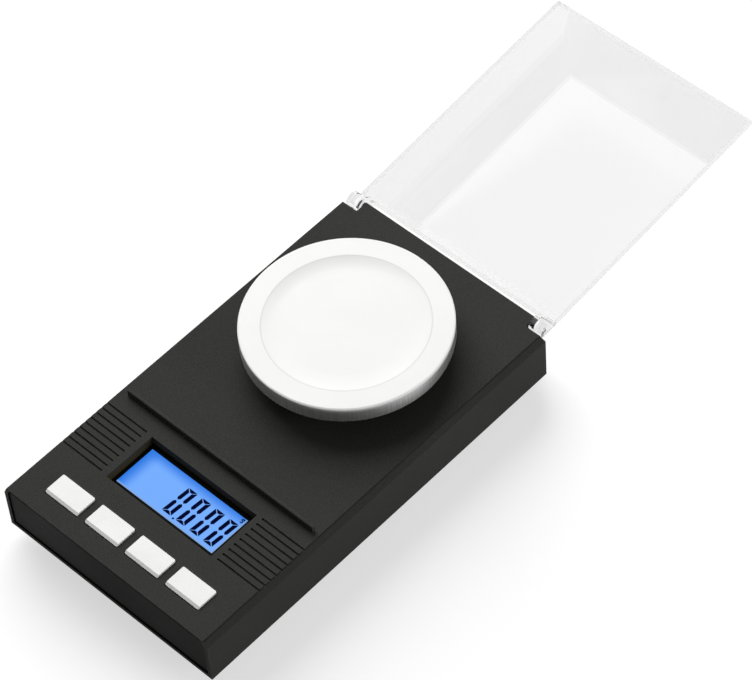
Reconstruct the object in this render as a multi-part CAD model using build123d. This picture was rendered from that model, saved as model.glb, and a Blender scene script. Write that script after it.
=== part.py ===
from build123d import *

import math
import os

# Pocket precision balance with a hinged clear wind cover, in millimetres.
# X runs across the case, Y towards the hinge and Z up, from the middle of the flat underside.
# The cover is built closed over the pan and then swung open, as it stands at rest.

# Case shell
case_width = 78.5
case_length = 138.8
case_height = 17.55
case_wall = 2.0
deck_thickness = 2.0
front_wall = 2.6
side_bevel_in = 1.3
side_bevel_down = 2.7
rear_bevel_in = 1.1
tongue_width = 65.0
tongue_reach = 4.2
overcut = 1.0

# Bottom shell and feet
plinth_height = 2.5
plinth_inset = 4.2
floor_thickness = 2.0
shell_fit = 0.2
foot_radius = 4.5
foot_height = 2.4
foot_seat_depth = 0.5
foot_edge_radius = 0.4
foot_inset = 6.0
screw_radius = 1.1
screw_play = 0.2
screw_grip = 0.02
screw_head_radius = 2.1
screw_head_height = 1.4
screw_head_recess = 0.4
screw_length = 12.0
boss_radius = 3.0
boss_gap = 0.4
front_boss_setback = 19.4
rear_boss_setback = 6.2
driver_slot_width = 0.6
driver_slot_depth = 0.5

# Front panel
panel_recess = 0.4
panel_rim = 1.25
panel_top_lip = 0.4
panel_thickness = 1.2
panel_gap = 0.3
panel_top_gap = 1.3
panel_tab_width = 8.0
panel_tab_height = 2.0
panel_tab_spacing = 44.0
panel_tab_fit = 0.1

# Hinge and wind cover
hinge_setback = 0.78
hinge_drop = 1.28
hinge_stub_radius = 1.15
hinge_stub_length = 1.5
hinge_fit = 0.05
hinge_end_gap = 0.3
ear_radius = 2.4
ear_side_gap = 0.4
ear_web_rise = 3.4
cover_width = 75.32
cover_length = 89.12
cover_heel = 2.74
cover_depth = 21.38
cover_wall = 1.2
cover_seat_gap = 0.2
cover_side_inset = 10.4
cover_front_inset = 8.98
cover_rear_inset = 11.91
cover_edge_radius = 1.0
cover_open_angle = 173.28

# Rib and grip grooves on the deck
rib_length = 71.3
rib_offset = 0.33
rib_width = 1.0
rib_height = 2.2
rib_edge_radius = 0.3
rib_clearance = 0.86
groove_count = 9
groove_pitch = 2.163
groove_width = 0.7
groove_depth = 0.5
groove_start = 22.25
groove_offset = 0.3

# Display
window_length = 40.5
window_width = 17.75
window_offset = 0.25
window_setback = 20.85
window_depth = 3.2
window_skirt = 1.2
mask_left_border = 1.15
mask_right_border = 2.3
mask_front_border = 2.15
mask_back_border = 1.4
mask_thickness = 0.2
polariser_thickness = 0.15
polariser_margin = 0.8
glass_thickness = 2.2
glass_margin = 1.2
holder_wall = 1.2
holder_fit = 0.2
zebra_width = 1.6
zebra_inset = 0.4
light_guide_setback = 1.8
lamp_size = 3.0
lamp_depth = 1.2
lamp_height = 1.6
lamp_spacing = 8.0
segment_thickness = 0.1
digit_count = 4
digit_height = 10.0
digit_width = 3.4
digit_pitch = 5.25
digit_upright_stroke = 1.2
digit_level_stroke = 0.95
digit_slant = 3.8
digit_end_margin = 0.9
digit_front_margin = 1.48
segment_gap = 0.16
point_size = 0.55
point_gap = 0.47
point_drop = 0.4
unit_width = 0.95
unit_height = 1.5
unit_stroke = 0.3
unit_segment_gap = 0.05
unit_end_margin = 1.75
unit_gap = 0.85

# Buttons and switches
button_count = 4
button_length = 12.5
button_width = 7.2
button_pitch = 15.5
button_row_offset = 0.5
button_setback = 9.84
button_proud = 0.6
button_facet_in = 0.8
button_facet_down = 0.5
button_corner_radius = 0.4
button_gap = 0.35
button_flange = 0.7
button_flange_thickness = 1.0
button_flange_play = 0.05
button_stem_radius = 1.6
button_travel = 0.3
switch_size = 6.0
switch_height = 3.5
plunger_radius = 1.75
plunger_proud = 0.75
plunger_depth = 1.2
plunger_fit = 0.05
plunger_room = 0.5

# Circuit board
board_depth = 9.0
board_thickness = 1.6
board_side_margin = 2.55
board_front_gap = 1.2
board_rear_margin = 4.6
board_post_radius = 3.0
board_screw_gap = 0.5
board_post_setback = 15.6
board_screw_radius = 1.0
board_screw_head_radius = 1.9
board_screw_head_height = 1.1
board_screw_length = 6.0
processor_size = 10.0
processor_height = 1.2
processor_x = -9.0
converter_length = 6.5
converter_width = 5.0
converter_height = 1.6
converter_x = 9.0
capacitor_radius = 2.0
capacitor_height = 4.6
capacitor_x = 16.0
capacitor_spacing = 5.5
chip_setback = 27.0

# Battery bay
cell_radius = 5.25
cell_length = 43.3
cell_nub_radius = 1.9
cell_nub_length = 1.2
cell_gap = 0.5
cell_clearance = 0.3
bay_wall = 1.5
bay_board_gap = 0.5
contact_thickness = 0.4
contact_width = 8.0
contact_tab_width = 2.4
contact_tab_rise = 1.2
contact_fit = 0.1
spring_wire_radius = 0.4
spring_radius = 3.0
spring_turns = 5
spring_space = 7.7
door_thickness = 1.6
door_ledge = 1.2
door_gap = 0.2
door_tab_width = 7.0
door_tab_height = 3.5
door_tab_thickness = 1.0
door_groove_count = 3
door_groove_pitch = 2.4
door_groove_width = 0.9
door_groove_depth = 0.4
label_length = 34.0
label_width = 16.0
label_thickness = 0.15
label_recess = 0.2
label_fit = 0.2

# Load cell, platform and pan
cell_bar_length = 50.0
cell_bar_width = 10.0
cell_bar_height = 6.0
cell_bar_step = 2.6
cell_hole_radius = 2.1
cell_hole_spacing = 11.0
cell_slot_height = 1.0
cell_pad_length = 10.0
cell_screw_radius = 1.5
cell_screw_spacing = 5.5
cell_screw_head_radius = 2.7
cell_screw_head_height = 1.5
cell_screw_bite = 5.0
gauge_length = 5.0
gauge_width = 3.0
gauge_thickness = 0.15
platform_travel = 0.3
arm_thickness = 2.2
arm_step = 2.0
arm_width = 12.0
arm_hub_radius = 13.0
arm_screw_head_height = 1.4
stop_spacing = 19.0
stop_boss_radius = 3.0
stop_boss_height = 4.0
stop_screw_radius = 1.5
stop_head_radius = 2.2
stop_head_height = 1.6
support_stem_radius = 8.0
support_disc_thickness = 2.4
support_screw_radius = 1.5
support_screw_head_radius = 2.8
support_screw_head_height = 1.6
support_rim_width = 1.6
support_rim_height = 0.6
support_rim_fit = 0.4
hub_hole_gap = 2.0
collar_wall = 1.4
collar_height = 1.2
pan_rise = 11.45
pan_height = 5.25
pan_sheet = 0.8
pan_edge_radius = 0.5
pan_rim_width = 6.5
pan_dish_depth = 0.8
pan_dish_run = 6.0
pan_dish_fillet = 0.3
pan_side_gap = 0.61
pan_rear_gap = 0.63

# Leads
lead_radius = 0.5
lead_setback = 1.3
lead_sway = 1.2
lead_landing_x = -21.0
lead_landing_step = 3.0
signal_lead_radius = 0.6
signal_lead_clearance = 0.3
signal_lead_low_run = 12.0
signal_lead_sway = 2.0

# Levels and edges that the pieces share
base_z = plinth_height
deck_z = base_z + case_height
ceiling_z = deck_z - deck_thickness
half_width = case_width / 2
front_y = -case_length / 2
tongue_y = case_length / 2
shoulder_y = tongue_y - tongue_reach
inside_x = half_width - case_wall
inside_front_y = front_y + front_wall
inside_rear_y = shoulder_y + rear_bevel_in - case_wall
hinge_y = tongue_y - hinge_setback
hinge_z = deck_z - hinge_drop
rim_z = deck_z + cover_seat_gap
cover_back_y = hinge_y - cover_heel
cover_front_y = cover_back_y - cover_length
window_front_y = front_y + window_setback
window_y = window_front_y + window_width / 2
window_back_y = window_front_y + window_width
mask_z = deck_z - window_depth
view_left = window_offset - window_length / 2 + mask_left_border
view_right = window_offset + window_length / 2 - mask_right_border
glass_left = view_left - polariser_margin - glass_margin
glass_right = view_right + polariser_margin + glass_margin
holder_left = glass_left - holder_fit - holder_wall
holder_right = glass_right + holder_fit + holder_wall
digit_lean = math.tan(math.radians(digit_slant))
digit_row = (digit_count - 1) * digit_pitch + digit_width + digit_lean * digit_height
digit_start = view_right - digit_end_margin - digit_row
board_top_z = deck_z - board_depth
board_z = board_top_z - board_thickness
board_rear_y = window_back_y + board_rear_margin
button_y = front_y + button_setback
button_row_half = (button_count - 1) * button_pitch / 2
button_places = [
    button_row_offset - button_row_half + index * button_pitch for index in range(button_count)
]
board_post_x = max(-holder_left, holder_right) + board_screw_gap + board_screw_head_radius
board_half_width = board_post_x + board_side_margin
boss_x = board_half_width + boss_gap + boss_radius
bay_front_y = board_rear_y + bay_board_gap + bay_wall
bay_half_length = cell_length / 2 + (cell_nub_length + spring_space) / 2 + contact_thickness
bay_width = 4 * cell_radius + cell_gap + 2 * cell_clearance
bay_rear_y = bay_front_y + bay_width
cell_z = door_thickness + cell_clearance + cell_radius
bay_top_z = cell_z + cell_radius + cell_clearance
cell_places = [
    bay_front_y + cell_clearance + cell_radius,
    bay_rear_y - cell_clearance - cell_radius,
]
pan_z = deck_z + pan_rise
pan_bottom_z = pan_z - pan_height
pan_full_z = pan_z - pan_edge_radius
bar_z = floor_thickness + cell_bar_step
bar_top_z = bar_z + cell_bar_height
arm_z = bar_top_z + arm_step
arm_top_z = arm_z + arm_thickness
support_top_z = pan_z - pan_dish_depth - pan_sheet


def wall_across(inset):
    """Level thickness of a cover wall that leans in by this much over the cover's depth."""
    return cover_wall * math.hypot(inset, cover_depth) / cover_depth


def inside_edge(edge, inset, height):
    """Distance from the cover's middle to a leaning wall's inner face, at a height above the rim."""
    return edge - inset * height / cover_depth - wall_across(inset)


pan_radius = inside_edge(cover_width / 2, cover_side_inset, pan_full_z - rim_z) - pan_side_gap
pan_y = (
    inside_edge(cover_back_y, cover_rear_inset, pan_full_z - rim_z) - pan_rear_gap - pan_radius
)
pan_dish_radius = pan_radius - pan_rim_width
pan_flat_radius = pan_dish_radius - pan_dish_run
pan_dish_curve = (pan_dish_run**2 + pan_dish_depth**2) / (2 * pan_dish_depth)
pan_under_curve = pan_dish_curve + pan_sheet
pan_under_radius = pan_flat_radius + math.sqrt(
    pan_under_curve**2 - (pan_under_curve - pan_dish_depth) ** 2
)
label_y = (pan_y + bay_rear_y) / 2


def span(centre, size):
    """Low and high limits of a size about its centre."""
    return (centre - size / 2, centre + size / 2)


def block(x, y, z):
    """A box between two limits along each axis."""
    centre = [sum(limits) / 2 for limits in (x, y, z)]
    return Pos(*centre) * Box(x[1] - x[0], y[1] - y[0], z[1] - z[0])


def post(x, y, radius, z):
    """An upright cylinder between two levels."""
    return Pos(x, y, sum(z) / 2) * Cylinder(radius, z[1] - z[0])


def rod_across(x, y, z, radius):
    """A cylinder along X between two limits."""
    return Pos(sum(x) / 2, y, z) * Rot(0, 90, 0) * Cylinder(radius, x[1] - x[0])


def polygon(points):
    """A flat face with these corners."""
    return make_face(Polyline(*points, close=True))


def prism_across(points, x):
    """A (y, z) outline carried along X."""
    return extrude(Plane.YZ.offset(x[0]) * polygon(points), amount=x[1] - x[0])


def prism_along(points, y):
    """An (x, z) outline carried along Y."""
    return extrude(Plane.XZ.offset(-y[1]) * polygon(points), amount=y[1] - y[0])


def prism_up(points, z):
    """An (x, y) outline carried up."""
    return extrude(Plane.XY.offset(z[0]) * polygon(points), amount=z[1] - z[0])


def save(name, *solids):
    """Writes one piece, or a group of like pieces, under its name."""
    piece = solids[0] if len(solids) == 1 else Compound(children=list(solids))
    piece.label = name
    export_step(piece, f"parts/{name}.step")


def side_outline(inset, low, high):
    """The case's front view between two levels, moved in from its sides by an inset."""
    foot = half_width - inset
    knee = deck_z - side_bevel_down
    top = foot - side_bevel_in * (high - knee) / side_bevel_down
    return [(-foot, low), (foot, low), (foot, knee), (top, high), (-top, high), (-foot, knee)]


def rear_outline(start_y, top_y):
    """The case's side view from a front edge to a rear edge that leans out below the deck."""
    foot_y = top_y + rear_bevel_in
    knee = deck_z - side_bevel_down
    return [(start_y, base_z), (foot_y, base_z), (foot_y, knee), (top_y, deck_z), (start_y, deck_z)]


def screw_places():
    """Where the bottom shell is screwed up into the top shell."""
    rear_y = shoulder_y - rear_boss_setback
    rows = (front_y + front_boss_setback, (bay_rear_y + rear_y) / 2, rear_y)
    return [(side * boss_x, y) for side in (-1, 1) for y in rows]


def board_post_places():
    """Where the circuit board is screwed to its posts."""
    rows = (front_y + board_post_setback, board_rear_y - board_post_radius)
    return [(side * board_post_x, y) for side in (-1, 1) for y in rows]


def foot_places():
    """Centres of the four feet."""
    x = half_width - plinth_inset - foot_inset - foot_radius
    front = front_y + plinth_inset + foot_inset + foot_radius
    rear = shoulder_y + rear_bevel_in - plinth_inset - foot_inset - foot_radius
    return [(side * x, y) for side in (-1, 1) for y in (front, rear)]


def stop_places():
    """Centres of the overload stops, one on each side of the load cell."""
    return [pan_y - stop_spacing / 2, pan_y + stop_spacing / 2]


def make_upper_case():
    shoulder = prism_along(
        side_outline(0, base_z, deck_z), (front_y, shoulder_y + rear_bevel_in)
    )
    shoulder &= prism_across(rear_outline(front_y, shoulder_y), (-half_width, half_width))
    tongue = prism_across(rear_outline(0, tongue_y), span(0, tongue_width))
    shell = shoulder + tongue
    shell -= block(
        (-inside_x, inside_x), (inside_front_y, inside_rear_y), (base_z - overcut, ceiling_z)
    )
    tongue_inside = tongue_width / 2 - case_wall
    shell -= block(
        (-tongue_inside, tongue_inside),
        (inside_rear_y - overcut, inside_rear_y + tongue_reach),
        (base_z - overcut, ceiling_z),
    )

    skirt = block(
        span(window_offset, window_length + 2 * window_skirt),
        span(window_y, window_width + 2 * window_skirt),
        (mask_z, ceiling_z),
    )
    window = block(
        span(window_offset, window_length),
        span(window_y, window_width),
        (mask_z - overcut, deck_z + overcut),
    )
    shell = shell + skirt - window

    for x in button_places:
        hole = block(
            span(x, button_length + 2 * button_gap),
            span(button_y, button_width + 2 * button_gap),
            (ceiling_z - overcut, deck_z + overcut),
        )
        shell -= fillet(hole.edges().filter_by(Axis.Z), button_corner_radius + button_gap)

    groove_middle = window_y + groove_offset
    for side in (-1, 1):
        for index in range(groove_count):
            y = groove_middle + (index - (groove_count - 1) / 2) * groove_pitch
            limits = sorted((side * groove_start, side * (half_width + overcut)))
            shell -= block(limits, span(y, groove_width), (deck_z - groove_depth, deck_z + overcut))

    collar_inside = support_stem_radius + hub_hole_gap
    shell += post(0, pan_y, collar_inside + collar_wall, (ceiling_z, deck_z + collar_height))
    shell -= post(0, pan_y, collar_inside, (ceiling_z - overcut, deck_z + collar_height + overcut))

    for x, y in screw_places():
        shell += post(x, y, boss_radius, (base_z + floor_thickness, ceiling_z))
        shell -= post(x, y, screw_radius + screw_grip, (base_z, screw_head_recess + screw_length + overcut))

    rib_back = cover_front_y - rib_clearance
    rib = block(
        span(rib_offset, rib_length),
        (rib_back - rib_width, rib_back),
        (deck_z - deck_thickness / 2, deck_z + rib_height),
    )
    shell += fillet(rib.edges().group_by(Axis.Z)[-1], rib_edge_radius)
    for side in (-1, 1):
        edge = side * tongue_width / 2
        limits = sorted((edge, edge + side * hinge_stub_length))
        shell += rod_across(limits, hinge_y, hinge_z, hinge_stub_radius)

    recess = side_outline(panel_rim, base_z + panel_rim, deck_z - panel_top_lip)
    panel_back_y = front_y + panel_recess + panel_thickness
    shell -= prism_along(recess, (front_y - overcut, panel_back_y))
    for side in (-1, 1):
        shell -= block(
            span(side * panel_tab_spacing / 2, panel_tab_width + 2 * panel_tab_fit),
            (front_y, inside_front_y + overcut),
            span((base_z + ceiling_z) / 2, panel_tab_height + 2 * panel_tab_fit),
        )
    save("upper_case", shell)


def make_front_panel():
    face_y = front_y + panel_recess
    panel = prism_along(
        side_outline(
            panel_rim + panel_gap, base_z + panel_rim + panel_gap, deck_z - panel_top_lip - panel_top_gap
        ),
        (face_y, face_y + panel_thickness),
    )
    for side in (-1, 1):
        panel += block(
            span(side * panel_tab_spacing / 2, panel_tab_width),
            (face_y + panel_thickness / 2, inside_front_y),
            span((base_z + ceiling_z) / 2, panel_tab_height),
        )
    save("front_panel", panel)


def make_lower_case():
    plate_top = base_z + floor_thickness
    fit_x = inside_x - shell_fit
    fit_front = inside_front_y + shell_fit
    fit_rear = inside_rear_y - shell_fit
    tray = block((-fit_x, fit_x), (fit_front, fit_rear), (base_z, plate_top))
    tongue_fit = tongue_width / 2 - case_wall - shell_fit
    tray += block(
        (-tongue_fit, tongue_fit), (fit_rear - overcut, fit_rear + tongue_reach), (base_z, plate_top)
    )
    plinth_x = half_width - plinth_inset
    plinth_front = front_y + plinth_inset
    plinth_rear = shoulder_y + rear_bevel_in - plinth_inset
    tray += block((-plinth_x, plinth_x), (plinth_front, plinth_rear), (0, plate_top))
    wall = floor_thickness
    tray -= block(
        (-plinth_x + wall, plinth_x - wall),
        (plinth_front + wall, plinth_rear - wall),
        (floor_thickness, plate_top + overcut),
    )

    for x, y in screw_places():
        tray += post(x, y, boss_radius, (0, plate_top))
        tray -= post(x, y, screw_radius + screw_play, (-overcut, plate_top + overcut))
        head_top = screw_head_recess + screw_head_height
        tray -= post(x, y, screw_head_radius + screw_play, (-overcut, head_top))
    for x, y in board_post_places():
        tray += post(x, y, board_post_radius, (floor_thickness / 2, board_z))
        hole_low = board_top_z - board_screw_length - overcut
        tray -= post(x, y, board_screw_radius + screw_grip, (hole_low, board_z + overcut))
    for y in stop_places():
        boss_top = floor_thickness + stop_boss_height
        tray += post(0, y, stop_boss_radius, (floor_thickness / 2, boss_top))
        tray -= post(0, y, stop_screw_radius + screw_grip, (floor_thickness, boss_top + overcut))
    for x, y in foot_places():
        tray -= post(x, y, foot_radius, (-overcut, foot_seat_depth))

    bay_outside = bay_half_length + bay_wall
    tray += block(
        (-bay_outside, bay_outside),
        (bay_front_y - bay_wall, bay_rear_y + bay_wall),
        (floor_thickness / 2, bay_top_z + bay_wall),
    )
    tray -= block(
        (-bay_half_length, bay_half_length), (bay_front_y, bay_rear_y), (-overcut, bay_top_z)
    )
    tray -= block(
        span(0, 2 * (bay_half_length + door_ledge)),
        (bay_front_y - door_ledge, bay_rear_y + door_ledge),
        (-overcut, door_thickness),
    )
    for x, y in contact_tab_places():
        tray -= block(
            span(x, contact_thickness + 2 * contact_fit),
            span(y, contact_tab_width + 2 * contact_fit),
            (bay_top_z - overcut, bay_top_z + bay_wall + overcut),
        )

    tray -= block(
        span(0, label_length + 2 * label_fit),
        span(label_y, label_width + 2 * label_fit),
        (-overcut, label_recess),
    )
    for x in fixed_screw_places():
        tray -= post(x, pan_y, cell_screw_radius + screw_play, (-overcut, floor_thickness + overcut))
        tray -= post(
            x, pan_y, cell_screw_head_radius + screw_play, (-overcut, cell_screw_head_height)
        )
    save("lower_case", tray)


def make_feet():
    for index, (x, y) in enumerate(foot_places(), start=1):
        foot = post(x, y, foot_radius, (-foot_height, foot_seat_depth))
        rim = foot.edges().filter_by(GeomType.CIRCLE).group_by(Axis.Z)[0]
        save(f"rubber_foot_{index}", fillet(rim, foot_edge_radius))


def make_screw(x, y, head_z, head_radius, head_height, radius, tip_z):
    """A slotted screw whose head's outer face is at head_z and whose tip points to tip_z."""
    way = 1 if tip_z > head_z else -1
    head = post(x, y, head_radius, sorted((head_z, head_z + way * head_height)))
    head -= block(
        span(x, 2 * head_radius),
        span(y, driver_slot_width),
        sorted((head_z - way * overcut, head_z + way * driver_slot_depth)),
    )
    return head + post(x, y, radius, sorted((head_z + way * head_height, tip_z)))


def make_case_screws():
    tip = screw_head_recess + screw_length
    save(
        "case_screws",
        *[
            make_screw(
                x, y, screw_head_recess, screw_head_radius, screw_head_height, screw_radius, tip
            )
            for x, y in screw_places()
        ],
    )


def frustum(width, back_y, length, low, high, side_inset, front_inset, rear_inset):
    """A block with four leaning sides, from its lower outline up to its roof."""
    levels = []
    for level, inset in ((low, 0), (high, 1)):
        x = width / 2 - inset * side_inset
        y0 = back_y - length + inset * front_inset
        y1 = back_y - inset * rear_inset
        corners = [(-x, y0, level), (x, y0, level), (x, y1, level), (-x, y1, level)]
        levels.append(make_face(Polyline(*corners, close=True)))
    return loft(levels, ruled=True)


def make_cover():
    roof_z = rim_z + cover_depth
    outside = frustum(
        cover_width,
        cover_back_y,
        cover_length,
        rim_z,
        roof_z,
        cover_side_inset,
        cover_front_inset,
        cover_rear_inset,
    )
    outside = fillet(outside.edges() - outside.edges().group_by(Axis.Z)[0], cover_edge_radius)
    hollow_depth = cover_depth - cover_wall
    share = (hollow_depth + overcut) / cover_depth
    spread = overcut / cover_depth
    side_wall, front_wall_across, rear_wall = (
        wall_across(inset) for inset in (cover_side_inset, cover_front_inset, cover_rear_inset)
    )
    hollow = frustum(
        cover_width - 2 * side_wall + 2 * spread * cover_side_inset,
        cover_back_y - rear_wall + spread * cover_rear_inset,
        cover_length - front_wall_across - rear_wall
        + spread * (cover_front_inset + cover_rear_inset),
        rim_z - overcut,
        roof_z - cover_wall,
        share * cover_side_inset,
        share * cover_front_inset,
        share * cover_rear_inset,
    )
    cover = outside - hollow

    lean = cover_side_inset / cover_depth
    knee = cover_width / 2
    top = hinge_z + cover_depth
    slab = [
        (-knee, hinge_z - cover_depth),
        (knee, hinge_z - cover_depth),
        (knee, rim_z),
        (knee - lean * (top - rim_z), top),
        (-knee + lean * (top - rim_z), top),
        (-knee, rim_z),
    ]
    within_sides = prism_along(slab, (cover_front_y, hinge_y + cover_depth))
    web_top = rim_z + ear_web_rise
    wall_y = cover_back_y - cover_rear_inset * ear_web_rise / cover_depth
    # The web's rear edge leaves the wall and meets the disc on its back.
    web = [
        (cover_back_y - rear_wall, rim_z),
        (cover_back_y, rim_z),
        (hinge_y - ear_radius, hinge_z),
        (hinge_y, hinge_z),
        (hinge_y + ear_radius * math.cos(math.pi / 4), hinge_z + ear_radius * math.sin(math.pi / 4)),
        (wall_y, web_top),
        (wall_y - rear_wall / 2, web_top),
    ]
    inner = tongue_width / 2 + ear_side_gap
    bore_end = tongue_width / 2 + hinge_stub_length + hinge_end_gap
    for side in (-1, 1):
        limits = sorted((side * inner, side * cover_width / 2))
        ear = rod_across(limits, hinge_y, hinge_z, ear_radius) + prism_across(web, limits)
        cover += ear & within_sides
        bore = sorted((side * (inner - ear_side_gap / 2), side * bore_end))
        cover -= rod_across(bore, hinge_y, hinge_z, hinge_stub_radius + hinge_fit)
    axis = Axis((0, hinge_y, hinge_z), (1, 0, 0))
    save("wind_cover", cover.rotate(axis, -cover_open_angle))


def make_display():
    mask_bottom = mask_z - mask_thickness
    outer_x = span(window_offset, window_length + 2 * window_skirt)
    outer_y = (window_front_y - window_skirt, window_back_y + window_skirt)
    view_y = (window_front_y + mask_front_border, window_back_y - mask_back_border)
    mask = block(outer_x, outer_y, (mask_bottom, mask_z))
    mask -= block((view_left, view_right), view_y, (mask_bottom - overcut, mask_z + overcut))
    save("display_mask", mask)

    polariser_z = mask_bottom - polariser_thickness
    film_x = (view_left - polariser_margin, view_right + polariser_margin)
    film_y = (view_y[0] - polariser_margin, view_y[1] + polariser_margin)
    save("lcd_polariser", block(film_x, film_y, (polariser_z, mask_bottom)))

    glass_z = polariser_z - glass_thickness
    glass_y = (film_y[0] - glass_margin, film_y[1] + glass_margin)
    save("lcd_glass", block((glass_left, glass_right), glass_y, (glass_z, polariser_z)))

    strip_y = (glass_y[0] + zebra_inset, glass_y[0] + zebra_inset + zebra_width)
    strip_x = (glass_left + zebra_inset, glass_right - zebra_inset)
    save("contact_strip", block(strip_x, strip_y, (board_top_z, glass_z)))

    guide_x = (glass_left + light_guide_setback, glass_right)
    guide_y = (strip_y[1] + zebra_inset, glass_y[1])
    save("lcd_light_guide", block(guide_x, guide_y, (board_top_z, glass_z)))
    lamps = []
    for side in (-1, 1):
        lamp_y = sum(guide_y) / 2 + side * lamp_spacing / 2
        lamp_x = (guide_x[0] - lamp_depth, guide_x[0])
        lamps.append(block(lamp_x, span(lamp_y, lamp_size), (board_top_z, board_top_z + lamp_height)))
    save("backlight_lamps", *lamps)

    frame_y = (glass_y[0] - holder_fit - holder_wall, glass_y[1] + holder_fit + holder_wall)
    frame_top = polariser_z
    frame = block((holder_left, holder_right), frame_y, (board_top_z, frame_top))
    frame -= block(
        (glass_left - holder_fit, glass_right + holder_fit),
        (glass_y[0] - holder_fit, glass_y[1] + holder_fit),
        (board_top_z - overcut, frame_top + overcut),
    )
    save("lcd_frame", frame)


def segment_outlines(width, height, upright, level, gap):
    """The seven mitred strokes of a digit from its lower left corner, as (x, y) outlines."""
    middle = height / 2
    point = upright / 2
    high = [
        (gap, height),
        (width - gap, height),
        (width - upright - gap, height - level),
        (upright + gap, height - level),
    ]
    left_high = [
        (0, height - gap),
        (upright, height - level - gap),
        (upright, middle + gap + point),
        (point, middle + gap),
        (0, middle + gap + point),
    ]
    across = [
        (point + gap, middle),
        (upright + gap, middle + level / 2),
        (width - upright - gap, middle + level / 2),
        (width - point - gap, middle),
        (width - upright - gap, middle - level / 2),
        (upright + gap, middle - level / 2),
    ]
    return {
        "high": high,
        "low": [(x, height - y) for x, y in high],
        "middle": across,
        "left_high": left_high,
        "left_low": [(x, height - y) for x, y in left_high],
        "right_high": [(width - x, y) for x, y in left_high],
        "right_low": [(width - x, height - y) for x, y in left_high],
    }


def make_digit(x, y, outlines, left_out, z):
    """Solids of one slanted digit with some strokes left out."""
    solids = []
    for name, outline in outlines.items():
        if name not in left_out:
            points = [(x + u + digit_lean * v, y + v) for u, v in outline]
            solids.append(prism_up(points, z))
    return solids


def make_segments():
    film_z = mask_z - mask_thickness
    level = (film_z, film_z + segment_thickness)
    base_y = window_front_y + mask_front_border + digit_front_margin
    digit = segment_outlines(
        digit_width, digit_height, digit_upright_stroke, digit_level_stroke, segment_gap
    )
    solids = []
    for index in range(digit_count):
        solids += make_digit(digit_start + index * digit_pitch, base_y, digit, ["middle"], level)
    point_x = digit_start + digit_pitch - point_gap - point_size / 2
    point_y = base_y - point_drop
    solids.append(block(span(point_x, point_size), (point_y, point_y + point_size), level))
    save("lcd_digits", *solids)
    unit = segment_outlines(unit_width, unit_height, unit_stroke, unit_stroke, unit_segment_gap)
    unit_x = view_right - unit_end_margin
    unit_y = base_y + digit_height + unit_gap
    save("lcd_unit_mark", *make_digit(unit_x, unit_y, unit, ["left_low"], level))


def make_buttons():
    cap_top = deck_z + button_proud
    flange_top = ceiling_z - button_flange_play
    flange_z = flange_top - button_flange_thickness
    switch_top = board_top_z + switch_height
    plunger_top = switch_top + plunger_proud
    for index, x in enumerate(button_places, start=1):
        front, back = span(button_y, button_width)
        section = [
            (front, flange_z),
            (back, flange_z),
            (back, cap_top),
            (front + button_facet_in, cap_top),
            (front, cap_top - button_facet_down),
        ]
        cap = prism_across(section, span(x, button_length))
        corners = cap.edges().filter_by(Axis.Z)
        cap = fillet(corners, button_corner_radius)
        cap += block(
            span(x, button_length + 2 * (button_flange + button_gap)),
            span(button_y, button_width + 2 * (button_flange + button_gap)),
            (flange_z, flange_top),
        )
        cap += post(x, button_y, button_stem_radius, (plunger_top, flange_z))
        save(f"button_cap_{index}", cap)

        plunger = post(x, button_y, plunger_radius, (switch_top - plunger_depth, plunger_top))
        save(f"switch_plunger_{index}", plunger)

        body = block(span(x, switch_size), span(button_y, switch_size), (board_top_z, switch_top))
        bore_low = switch_top - plunger_depth - button_travel - plunger_room
        body -= post(x, button_y, plunger_radius + plunger_fit, (bore_low, switch_top + overcut))
        save(f"switch_body_{index}", body)


def make_board():
    board = block(
        (-board_half_width, board_half_width),
        (inside_front_y + board_front_gap, board_rear_y),
        (board_z, board_top_z),
    )
    for x, y in board_post_places():
        board -= post(x, y, board_screw_radius + screw_play, (board_z - overcut, board_top_z + overcut))
    save("circuit_board", board)

    head_z = board_top_z + board_screw_head_height
    tip_z = board_top_z - board_screw_length
    screws = [
        make_screw(
            x, y, head_z, board_screw_head_radius, board_screw_head_height, board_screw_radius, tip_z
        )
        for x, y in board_post_places()
    ]
    save("board_screws", *screws)

    chip_y = front_y + chip_setback
    save(
        "processor",
        block(
            span(processor_x, processor_size),
            span(chip_y, processor_size),
            (board_z - processor_height, board_z),
        ),
    )
    save(
        "signal_converter",
        block(
            span(converter_x, converter_length),
            span(chip_y, converter_width),
            (board_z - converter_height, board_z),
        ),
    )
    cans = []
    for index in range(2):
        y = chip_y + (index + 1) * capacitor_spacing
        cans.append(post(capacitor_x, y, capacitor_radius, (board_z - capacitor_height, board_z)))
    save("capacitors", *cans)


def contact_tab_places():
    """Where the contacts' solder tabs pass through the bay's ceiling, at its left end."""
    x = -bay_half_length + contact_thickness / 2
    return [(x, y) for y in cell_places]


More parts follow.
